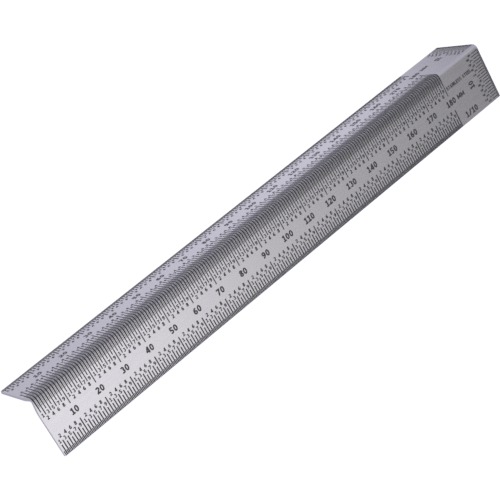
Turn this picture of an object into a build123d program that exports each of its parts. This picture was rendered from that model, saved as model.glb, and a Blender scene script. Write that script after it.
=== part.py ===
from build123d import *
import os
from functools import cache
from math import atan2, degrees, hypot, sqrt

# A stainless steel angle rule: one strip folded lengthwise to a right angle, with black-filled
# millimetre scales on both outer faces. Millimetres. It stands like a tent on its two free edges:
# +X runs along the rule from the zero end, +Z is up through the fold, and the front leaf faces -Y.
# The origin is at the middle of the footprint, on the surface that the rule stands on.

# --- driving dimensions -----------------------------------------------------------------------
LENGTH = 200.0             # whole rule
LEG = 20.9                 # free edge to the sharp corner that the two outer faces would meet in
THICKNESS = 1.0            # sheet
BEND_RADIUS = 1.5          # outside of the fold
EDGE_BREAK = 0.1           # deburring chamfer on every cut edge
RELIEF_DEPTH = 0.8         # how far the zero end draws in at the sharp outer corner of the fold
RELIEF_REACH = 6.0         # how far down each leaf it does so
SCALE_END = 180            # last millimetre of the long scales
END_SCALE = 19             # last millimetre of the short scale across the far end
FILL = 0.03                # height of the black fill over the steel
BACK_SHIFT = 1.25          # how much nearer to its free edge the back leaf carries its marks

# widths of the lines, for each scale: millimetres, then half millimetres
EDGE_LINE, EDGE_HALF_LINE = 0.4, 0.33
BEND_LINE, BEND_HALF_LINE = 0.34, 0.15
END_LINE, END_HALF_LINE = 0.3, 0.3
# The millimetre lines of the fold widen towards it: (reach, width) of each step.
BEND_STEPS = ((3.7, 0.42), (2.8, 0.48), (2.0, 0.54))

# Everything below is for the front leaf. BACK_SHIFT moves it on the back leaf, but for the half
# millimetres along the free edge and the scale across the end.
# reach of the lines from the edge that their scale starts at: odd, even and tenth millimetres
EDGE_REACH = (3.65, 4.7, 6.65)
END_REACH = (3.5, 4.2, 5.0)
BEND_REACH = (5.15, 6.65, 8.7)
EDGE_HALF_REACH = 1.55
END_HALF_REACH = 1.0
BEND_HALF_REACH = 3.7

# rows of numerals, as the distance of their middle from the edge of their scale
EDGE_ODD_ROW, EDGE_EVEN_ROW = 4.85, 6.33
BEND_ODD_ROW, BEND_EVEN_ROW = 6.3, 7.8
TENS_ROW = 9.72
END_ODD_ROW, END_EVEN_ROW, END_TEN_ROW = 4.75, 6.1, 9.1
SMALL_HEIGHT = 1.3
TENS_HEIGHT = 2.2

# words past the end of the long scales: x and distance of their middle from the free edge, height
UNIT_LABEL = (185.0, TENS_ROW, 1.7)
DIVISION_LABEL = (186.3, 2.5, TENS_HEIGHT)
STEEL_LABEL = (186.9, 14.5, 1.3)

# lettering, in units of its height
PEN = 0.22
GLYPH_WIDTH = 0.62
GLYPH_GAP = 0.1
SPACE_WIDTH = 0.35

ROOT_HALF = sqrt(0.5)
# Height of the sharp outer corner: the chamfers on the inner corners of the free edges lie flat.
RIDGE = (LEG + THICKNESS - EDGE_BREAK) * ROOT_HALF

# One plane for each outer face. They share an origin, where the sharp outer corner meets the zero
# end, and x runs along the rule in both. Laid flat, the two planes make one: y is below zero on
# the front leaf, above zero on the back leaf, and every numeral stands upright.
CORNER = (-LENGTH / 2, 0, RIDGE)
FRONT = Plane(origin=CORNER, x_dir=(1, 0, 0), z_dir=(0, -1, 1))
BACK = Plane(origin=CORNER, x_dir=(1, 0, 0), z_dir=(0, 1, 1))
LEAVES = {"front": (FRONT, -1, 0.0), "back": (BACK, 1, BACK_SHIFT)}


# --- the folded sheet -------------------------------------------------------------------------
def leg_points(side):
    """The free end of one leg in the end view: its outer corner, then its inner corner."""
    corner = Vector(0, RIDGE)
    along = Vector(side, -1) * ROOT_HALF
    inward = Vector(-side, -1) * ROOT_HALF
    return [corner + along * LEG, corner + along * LEG + inward * THICKNESS]


def fold_points(radius):
    """Start, middle and end of an arc about the fold's centre, from the back leg to the front."""
    centre = Vector(0, RIDGE - BEND_RADIUS / ROOT_HALF)
    return [
        centre + Vector(ROOT_HALF, ROOT_HALF) * radius,
        centre + Vector(0, radius),
        centre + Vector(-ROOT_HALF, ROOT_HALF) * radius,
    ]


def folded_sheet():
    front, back = leg_points(-1), leg_points(1)
    outer = fold_points(BEND_RADIUS)
    inner = fold_points(BEND_RADIUS - THICKNESS)
    outline = Polyline(outer[2], *front, inner[2]) + ThreePointArc(*inner)
    outline += Polyline(inner[0], *reversed(back), outer[0]) + ThreePointArc(*outer)
    profile = Plane.YZ.offset(-LENGTH / 2) * make_face(outline)
    sheet = extrude(profile, LENGTH)
    along_y = sheet.faces().sort_by(Axis.Y)
    cut_faces = sheet.faces().filter_by(Axis.X) + [along_y[0], along_y[-1]]
    return chamfer(cut_faces.edges(), EDGE_BREAK) - zero_end_relief()


def zero_end_relief():
    """A wedge that takes the zero end back where the strip is folded."""
    tip = (-LENGTH / 2, RIDGE - RELIEF_REACH * ROOT_HALF)
    drawn_in = (-LENGTH / 2 + RELIEF_DEPTH, RIDGE)
    outline = Polyline(tip, drawn_in, (-LENGTH / 2, RIDGE), close=True)
    return extrude(Plane.XZ * make_face(outline), RELIEF_REACH, both=True)


# --- graduation lines -------------------------------------------------------------------------
def reach_of(millimetre, reaches):
    """Length of a graduation line: short if odd, longer if even, longest at each ten."""
    odd, even, ten = reaches
    if millimetre % 10 == 0:
        return ten
    return even if millimetre % 2 == 0 else odd


def halves(last):
    """The half-millimetre positions between 0 and last."""
    return [k + 0.5 for k in range(last)]


@cache
def flat_bar(length_x, length_y):
    """A flat bar of fill with its middle at the origin."""
    return extrude(Rectangle(length_x, length_y), FILL)


def straight_line(leaf, x_low, x_high, y_low, y_high):
    """A flat bar of fill on one leaf."""
    plane, _, _ = LEAVES[leaf]
    middle = Pos((x_low + x_high) / 2, (y_low + y_high) / 2)
    solid = flat_bar(round(x_high - x_low, 6), round(y_high - y_low, 6))
    return plane.location * middle * solid


def edge_line(leaf, x, reach, width):
    """A line that starts at a leaf's free edge and runs towards the fold."""
    _, side, _ = LEAVES[leaf]
    ends = sorted((side * (LEG - EDGE_BREAK), side * (LEG - reach)))
    return straight_line(leaf, x - width / 2, x + width / 2, *ends)


def end_line(leaf, distance, reach, width):
    """A line that starts at the far end of the rule, at a distance from the leaf's free edge."""
    _, side, _ = LEAVES[leaf]
    y = side * (LEG - distance)
    return straight_line(leaf, LENGTH - reach, LENGTH - EDGE_BREAK, y - width / 2, y + width / 2)


@cache
def bend_bar(reach, width):
    """A bar of fill over the middle of the fold that runs down both leaves."""
    corner = Vector(0, RIDGE)
    tips = []
    for height in (0, FILL):
        for _, side, shift in LEAVES.values():
            along = Vector(side, -1) * ROOT_HALF
            outward = Vector(side, 1) * ROOT_HALF
            tips.append(corner + along * (reach + shift) + outward * height)
    lower = fold_points(BEND_RADIUS)
    upper = fold_points(BEND_RADIUS + FILL)
    outline = Line(tips[0], lower[2]) + ThreePointArc(*lower) + Line(lower[0], tips[1])
    outline += Line(tips[1], tips[3]) + Line(tips[3], upper[0])
    outline += ThreePointArc(*upper) + Line(upper[2], tips[2]) + Line(tips[2], tips[0])
    return extrude(Plane.YZ.offset(-width / 2) * make_face(outline), width)


@cache
def stepped_bend_bar(reach):
    """A bar over the fold that gets wider in steps towards it."""
    solid = bend_bar(reach, BEND_LINE)
    for step_reach, step_width in BEND_STEPS:
        solid += bend_bar(step_reach, step_width)
    return solid


# --- lettering --------------------------------------------------------------------------------
def ring(x, y, width, height):
    """A closed oval stroke about a centre."""
    outer = Ellipse(width / 2, height / 2)
    inner = Ellipse(width / 2 - PEN, height / 2 - PEN)
    return Pos(x, y) * (outer - inner)


def bar(x_start, y_start, x_end, y_end):
    """A straight stroke between the middles of its two ends."""
    dx, dy = x_end - x_start, y_end - y_start
    middle = Pos((x_start + x_end) / 2, (y_start + y_end) / 2)
    return middle * Rot(0, 0, degrees(atan2(dy, dx))) * Rectangle(hypot(dx, dy), PEN)


def arc(x, y, radius, start, sweep):
    """A round stroke: the middle of its pen follows an arc, with angles in degrees."""
    return trace(CenterArc((x, y), radius, start, sweep), PEN)


def strokes(character):
    """The strokes of one character, one unit high, standing on y = 0 and starting at x = 0."""
    half = PEN / 2
    mid = GLYPH_WIDTH / 2
    right = GLYPH_WIDTH
    top = 1 - half
    six_bowl = ring(mid, 0.31, right, 0.62)
    six_back = trace(ThreePointArc((half, 0.33), (0.2, 0.74), (0.5, top)), PEN)
    nine_turn = Pos(mid, 0.5) * Rot(0, 0, 180) * Pos(-mid, -0.5)
    drawings = {
        "0": [ring(mid, 0.5, right, 1)],
        "1": [bar(0.28, 0, 0.28, 1), bar(0.03, 0.75, 0.3, 0.93), bar(0, half, 0.52, half)],
        "2": [
            arc(mid, 1 - mid, mid - half, -42, 202),
            bar(0.47, 0.55, 0.1, half),
            bar(0.02, half, right, half),
        ],
        "3": [arc(0.3, 0.725, 0.18, -90, 240), arc(mid, mid, mid - half, -150, 240)],
        "4": [bar(0.45, 0, 0.45, 1), bar(0, 0.28, right, 0.28), bar(0.07, 0.27, 0.42, 0.94)],
        "5": [
            bar(0.08, top, 0.58, top),
            bar(0.16, 0.45, 0.16, 1),
            arc(mid, mid, mid - half, -150, 265),
        ],
        "6": [six_bowl, six_back],
        "7": [bar(0, top, right, top), bar(0.52, 0.93, 0.22, 0)],
        "8": [ring(mid, 0.74, 0.56, 0.52), ring(mid, 0.285, right, 0.57)],
        "9": [nine_turn * six_bowl, nine_turn * six_back],
        "/": [bar(0.06, 0, 0.52, 1)],
        "A": [bar(half, 0, mid, 0.97), bar(right - half, 0, mid, 0.97), bar(0.15, 0.28, 0.47, 0.28)],
        "E": [
            bar(half, 0, half, 1),
            bar(0, half, 0.54, half),
            bar(0, 0.5, 0.5, 0.5),
            bar(0, top, 0.54, top),
        ],
        "I": [bar(half, 0, half, 1)],
        "L": [bar(half, 0, half, 1), bar(0, half, 0.54, half)],
        "M": [
            bar(half, 0, half, 1),
            bar(0.95 - half, 0, 0.95 - half, 1),
            bar(half, 0.95, 0.475, 0.2),
            bar(0.95 - half, 0.95, 0.475, 0.2),
        ],
        "N": [bar(half, 0, half, 1), bar(right - half, 0, right - half, 1), bar(0.1, 0.95, 0.52, 0.05)],
        "S": [arc(mid, 0.7, 0.205, 30, 240), arc(mid, 0.3, 0.205, -150, 240)],
        "T": [bar(0, top, right, top), bar(mid, 0, mid, 1)],
    }
    return drawings[character]


@cache
def glyph(character, height):
    """One character as a solid of fill with its middle at the origin, and its width."""
    outline = scale(Sketch() + strokes(character), height)
    box = outline.bounding_box()
    centred = Pos(-(box.min.X + box.max.X) / 2, -height / 2) * outline
    return extrude(centred, FILL), box.size.X


def lettering(leaf, text, x, y, height, turn=0):
    """A line of text centred on a point of one leaf; turn rotates it, in degrees."""
    plane, _, _ = LEAVES[leaf]
    place = plane.location * Pos(x, y) * Rot(0, 0, turn)
    gap, space = GLYPH_GAP * height, SPACE_WIDTH * height
    widths = [space if character == " " else glyph(character, height)[1] for character in text]
    left = -(sum(widths) + gap * (len(text) - 1)) / 2
    solids = []
    for character, width in zip(text, widths):
        if character != " ":
            solids += (place * Pos(left + width / 2, 0) * glyph(character, height)[0]).solids()
        left += width + gap
    return solids


def unit_numerals(leaf, odd_row, even_row, from_edge):
    """The last digits of the millimetres between the tens, in two staggered rows."""
    _, side, shift = LEAVES[leaf]
    solids = []
    for k in range(1, SCALE_END):
        if k % 10:
            row = even_row if k % 2 == 0 else odd_row
            y = side * ((LEG - row if from_edge else row) + shift)
            solids += lettering(leaf, str(k % 10), k, y, SMALL_HEIGHT)
    return solids


def tens_numerals(leaf):
    """The large numerals down the middle of a leaf."""
    _, side, shift = LEAVES[leaf]
    y = side * (LEG - TENS_ROW + shift)
    solids = []
    for k in range(10, SCALE_END + 1, 10):
        solids += lettering(leaf, str(k), k, y, TENS_HEIGHT)
    return solids


def end_numerals(leaf):
    """The numerals of the short scale, turned to be read from the far end."""
    _, side, _ = LEAVES[leaf]
    solids = []
    for k in range(1, END_SCALE + 1):
        y = side * (LEG - k)
        if k == 10:
            solids += lettering(leaf, "10", LENGTH - END_TEN_ROW, y, TENS_HEIGHT, turn=90)
        else:
            row = END_EVEN_ROW if k % 2 == 0 else END_ODD_ROW
            solids += lettering(leaf, str(k % 10), LENGTH - row, y, SMALL_HEIGHT, turn=90)
    return solids


# --- the whole rule ---------------------------------------------------------------------------
def leaf_nodes(leaf):
    """Every group of marks that belongs to one leaf."""
    _, _, shift = LEAVES[leaf]
    return {
        f"{leaf}_edge_millimetre_lines": [
            edge_line(leaf, k, reach_of(k, EDGE_REACH) - shift, EDGE_LINE)
            for k in range(1, SCALE_END + 1)
        ],
        f"{leaf}_edge_half_lines": [
            edge_line(leaf, x, EDGE_HALF_REACH, EDGE_HALF_LINE) for x in halves(SCALE_END)
        ],
        f"{leaf}_end_millimetre_lines": [
            end_line(leaf, k, reach_of(k, END_REACH), END_LINE) for k in range(1, END_SCALE + 1)
        ],
        f"{leaf}_end_half_lines": [
            end_line(leaf, d, END_HALF_REACH, END_HALF_LINE) for d in halves(END_SCALE)
        ],
        f"{leaf}_edge_unit_numerals": unit_numerals(leaf, EDGE_ODD_ROW, EDGE_EVEN_ROW, True),
        f"{leaf}_bend_unit_numerals": unit_numerals(leaf, BEND_ODD_ROW, BEND_EVEN_ROW, False),
        f"{leaf}_tens_numerals": tens_numerals(leaf),
        f"{leaf}_end_numerals": end_numerals(leaf),
    }


def label(leaf, text, place):
    """A word past the end of the long scales."""
    _, side, shift = LEAVES[leaf]
    x, from_edge, height = place
    return lettering(leaf, text, x, side * (LEG - from_edge + shift), height)


def label_nodes():
    return {
        "front_labels": [
            *label("front", "MM", UNIT_LABEL),
            *label("front", "1/10", DIVISION_LABEL),
            *label("front", "STAINLESS STEEL", STEEL_LABEL),
        ],
        "back_labels": label("back", "MM", UNIT_LABEL),
    }


def all_nodes():
    nodes = {"folded_sheet": folded_sheet().solids()}
    nodes["bend_millimetre_lines"] = [
        Pos(k - LENGTH / 2, 0, 0) * stepped_bend_bar(reach_of(k, BEND_REACH))
        for k in range(1, SCALE_END + 1)
    ]
    nodes["bend_half_lines"] = [
        Pos(x - LENGTH / 2, 0, 0) * bend_bar(BEND_HALF_REACH, BEND_HALF_LINE)
        for x in halves(SCALE_END)[1:]  # the first would hang over the relief
    ]
    for leaf in LEAVES:
        nodes.update(leaf_nodes(leaf))
    nodes.update(label_nodes())
    return nodes


os.makedirs("parts", exist_ok=True)
for name, solids in all_nodes().items():
    export_step(Compound(children=list(solids)), f"parts/{name}.step")
    print(name, len(solids))
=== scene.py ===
import bpy
from math import cos, radians, sin
from mathutils import Matrix, Vector

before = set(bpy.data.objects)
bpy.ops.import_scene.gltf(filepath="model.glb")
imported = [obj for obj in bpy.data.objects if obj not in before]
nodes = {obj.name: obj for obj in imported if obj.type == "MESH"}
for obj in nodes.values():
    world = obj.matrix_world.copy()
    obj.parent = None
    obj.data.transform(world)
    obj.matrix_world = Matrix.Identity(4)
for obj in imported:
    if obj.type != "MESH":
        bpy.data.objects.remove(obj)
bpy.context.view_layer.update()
MM = 0.001

# --- camera -----------------------------------------------------------------------------------
# A 110 mm lens half a metre away, above the front leaf and towards the zero end.
LENS = 110.47
SENSOR_WIDTH = 36
NEAR_CLIP = 10 * MM
AZIMUTH = radians(-49.741)
ELEVATION = radians(56.747)
ROLL = radians(5.652)
DISTANCE = 491.6 * MM
TARGET = Vector((-9.83, -1.16, 2.0)) * MM

# --- light ------------------------------------------------------------------------------------
# The studio in front of the rule and behind it: the x of the direction that the light comes from,
# and how bright it is there, before WORLD_STRENGTH.
FRONT_LIGHT = (
    (-1.0, 0.4), (-0.3, 0.72), (0.3, 0.77), (0.38, 0.87), (0.39, 0.34), (0.5, 0.3), (0.6, 0.13),
    (0.8, 0.03), (1.0, 0.03),
)
BACK_LIGHT = (
    (-1.0, 0.4), (0.25, 0.465), (0.35, 0.54), (0.42, 0.58), (0.53, 0.61), (0.55, 0.4), (0.6, 0.15),
    (1.0, 0.1),
)
BACK_BLUE = 1.1  # the blue of the light behind, against its red and green
SKY = (0.36, 0.36, 0.39, 1)
WORLD_STRENGTH = 2.0
# Against the y of that direction, the front light fades into the sky over the first range, and the
# sky into the back light over the second.
FRONT_FADE = (-0.6, -0.15)
BACK_FADE = (0.3, 0.6)

# --- surfaces ---------------------------------------------------------------------------------
STEEL_COLOR = (0.53, 0.514, 0.55, 1)
STEEL_GRAZING = (0.74, 0.73, 0.75, 1)  # tint of what it mirrors at a grazing angle
STEEL_ROUGHNESS = (0.24, 0.32)
GRAIN = (150, 9000, 9000)  # noise per metre: long along the rule, fine across it
GRAIN_DETAIL = 3.0
GRAIN_STRENGTH = 0.08
GRAIN_DEPTH = 0.01 * MM
ENAMEL_COLORS = ((0.012, 0.012, 0.014, 1), (0.04, 0.04, 0.045, 1))  # full and wiped thin
ENAMEL_ROUGHNESS = 0.55
WIPING = (1500, 1500, 1500)  # noise per metre
WIPING_DETAIL = 2.0
NOISE_SPAN = (0.3, 0.7)  # where most values of the noise lie
FLOOR_SIZE = 6
FLOOR_COLOR = (0.03, 0.03, 0.03, 1)
FLOOR_ROUGHNESS = 0.9
FLOOR_GLOW = (1, 1, 1.1, 1)


def add_camera():
    """A camera that looks at TARGET from DISTANCE, turned about its own axis by ROLL."""
    data = bpy.data.cameras.new("camera")
    data.lens = LENS
    data.sensor_width = SENSOR_WIDTH
    data.clip_start = NEAR_CLIP
    back = Vector((sin(AZIMUTH) * cos(ELEVATION), -cos(AZIMUTH) * cos(ELEVATION), sin(ELEVATION)))
    turn = back.to_track_quat("Z", "Y").to_matrix().to_4x4() @ Matrix.Rotation(ROLL, 4, "Z")
    camera = bpy.data.objects.new("camera", data)
    camera.matrix_world = Matrix.Translation(TARGET + back * DISTANCE) @ turn
    bpy.context.scene.collection.objects.link(camera)
    bpy.context.scene.camera = camera


# --- node helpers -----------------------------------------------------------------------------
def new_material(name):
    """A material, its node tree and its shader."""
    material = bpy.data.materials.new(name)
    material.use_nodes = True
    tree = material.node_tree
    return material, tree, tree.nodes["Principled BSDF"]


def set_inputs(node, values):
    """Give sockets of a node, by name, their own values."""
    for socket, value in values.items():
        node.inputs[socket].default_value = value


def stretched_noise(tree, stretch, detail):
    """Noise over the object's own coordinates, in metres, stretched by a scale on each axis."""
    place = tree.nodes.new("ShaderNodeTexCoord")
    mapping = tree.nodes.new("ShaderNodeMapping")
    set_inputs(mapping, {"Scale": stretch})
    noise = tree.nodes.new("ShaderNodeTexNoise")
    set_inputs(noise, {"Scale": 1.0, "Detail": detail})
    tree.links.new(place.outputs["Object"], mapping.inputs["Vector"])
    tree.links.new(mapping.outputs["Vector"], noise.inputs["Vector"])
    return noise.outputs["Fac"]


def ranged(tree, socket, to_range, from_range):
    """A value mapped from one range to another, and held at its ends."""
    span = tree.nodes.new("ShaderNodeMapRange")
    set_inputs(span, {
        "From Min": from_range[0],
        "From Max": from_range[1],
        "To Min": to_range[0],
        "To Max": to_range[1],
    })
    tree.links.new(socket, span.inputs["Value"])
    return span.outputs["Result"]


# --- materials --------------------------------------------------------------------------------
def steel_material():
    """Satin stainless steel with a fine grain along the rule."""
    material, tree, shader = new_material("satin_steel")
    set_inputs(shader, {"Metallic": 1.0, "Base Color": STEEL_COLOR, "Specular Tint": STEEL_GRAZING})
    grain = stretched_noise(tree, GRAIN, GRAIN_DETAIL)
    roughness = ranged(tree, grain, STEEL_ROUGHNESS, NOISE_SPAN)
    tree.links.new(roughness, shader.inputs["Roughness"])
    bump = tree.nodes.new("ShaderNodeBump")
    set_inputs(bump, {"Strength": GRAIN_STRENGTH, "Distance": GRAIN_DEPTH})
    tree.links.new(grain, bump.inputs["Height"])
    tree.links.new(bump.outputs["Normal"], shader.inputs["Normal"])
    return material


def fill_material():
    """Matt black enamel, a little uneven where it has been wiped back."""
    material, tree, shader = new_material("black_fill")
    set_inputs(shader, {"Roughness": ENAMEL_ROUGHNESS})
    ramp = tree.nodes.new("ShaderNodeValToRGB")
    for stop, color in zip(ramp.color_ramp.elements, ENAMEL_COLORS):
        stop.color = color
    tree.links.new(stretched_noise(tree, WIPING, WIPING_DETAIL), ramp.inputs["Fac"])
    tree.links.new(ramp.outputs["Color"], shader.inputs["Base Color"])
    return material


def floor_material():
    """White that shines by itself, so that shadows hardly show on it."""
    material, _, shader = new_material("white_floor")
    set_inputs(shader, {
        "Base Color": FLOOR_COLOR,
        "Roughness": FLOOR_ROUGHNESS,
        "Emission Color": FLOOR_GLOW,
        "Emission Strength": 1.0,
    })
    return material


# --- stage ------------------------------------------------------------------------------------
def add_floor():
    bpy.ops.mesh.primitive_plane_add(size=FLOOR_SIZE)
    floor = bpy.context.object
    floor.name = "floor"
    floor.data.materials.append(floor_material())
    floor.visible_glossy = False  # so that the back leaf mirrors the light behind it instead


def light_ramp(tree, across, levels, blue):
    """The brightness of one side of the studio, with its blue channel scaled."""
    ramp = tree.nodes.new("ShaderNodeValToRGB")
    stops = ramp.color_ramp.elements
    stops[0].position, stops[1].position = 0, 1
    for direction_x, _ in levels[1:-1]:
        stops.new((direction_x + 1) / 2)
    for stop, (_, level) in zip(stops, levels):
        stop.color = (level, level, level * blue, 1)
    tree.links.new(across, ramp.inputs["Fac"])
    return ramp.outputs["Color"]


def blend(tree, factor, first, second):
    """The first colour where the factor is 0 and the second where it is 1."""
    mix = tree.nodes.new("ShaderNodeMix")
    mix.data_type = "RGBA"
    tree.links.new(factor, mix.inputs["Factor"])
    tree.links.new(first, mix.inputs["A"])
    tree.links.new(second, mix.inputs["B"])
    return mix.outputs["Result"]


def add_world():
    """Wide softboxes before and behind the rule, both falling away to the right, and a plain sky."""
    world = bpy.data.worlds.new("studio")
    world.use_nodes = True
    bpy.context.scene.world = world
    tree = world.node_tree
    background = tree.nodes["Background"]
    place = tree.nodes.new("ShaderNodeTexCoord")
    axes = tree.nodes.new("ShaderNodeSeparateXYZ")
    tree.links.new(place.outputs["Generated"], axes.inputs["Vector"])
    across = ranged(tree, axes.outputs["X"], (0, 1), (-1, 1))
    sky = tree.nodes.new("ShaderNodeRGB")
    sky.outputs["Color"].default_value = SKY
    front = light_ramp(tree, across, FRONT_LIGHT, 1)
    back = light_ramp(tree, across, BACK_LIGHT, BACK_BLUE)
    past_front = ranged(tree, axes.outputs["Y"], (0, 1), FRONT_FADE)
    past_sky = ranged(tree, axes.outputs["Y"], (0, 1), BACK_FADE)
    front_and_sky = blend(tree, past_front, front, sky.outputs["Color"])
    whole = blend(tree, past_sky, front_and_sky, back)
    tree.links.new(whole, background.inputs["Color"])
    set_inputs(background, {"Strength": WORLD_STRENGTH})


add_camera()
steel = steel_material()
fill = fill_material()
for name, node in nodes.items():
    node.data.materials.clear()
    node.data.materials.append(steel if name == "folded_sheet" else fill)
add_floor()
add_world()
bpy.context.scene.view_settings.view_transform = "Standard"
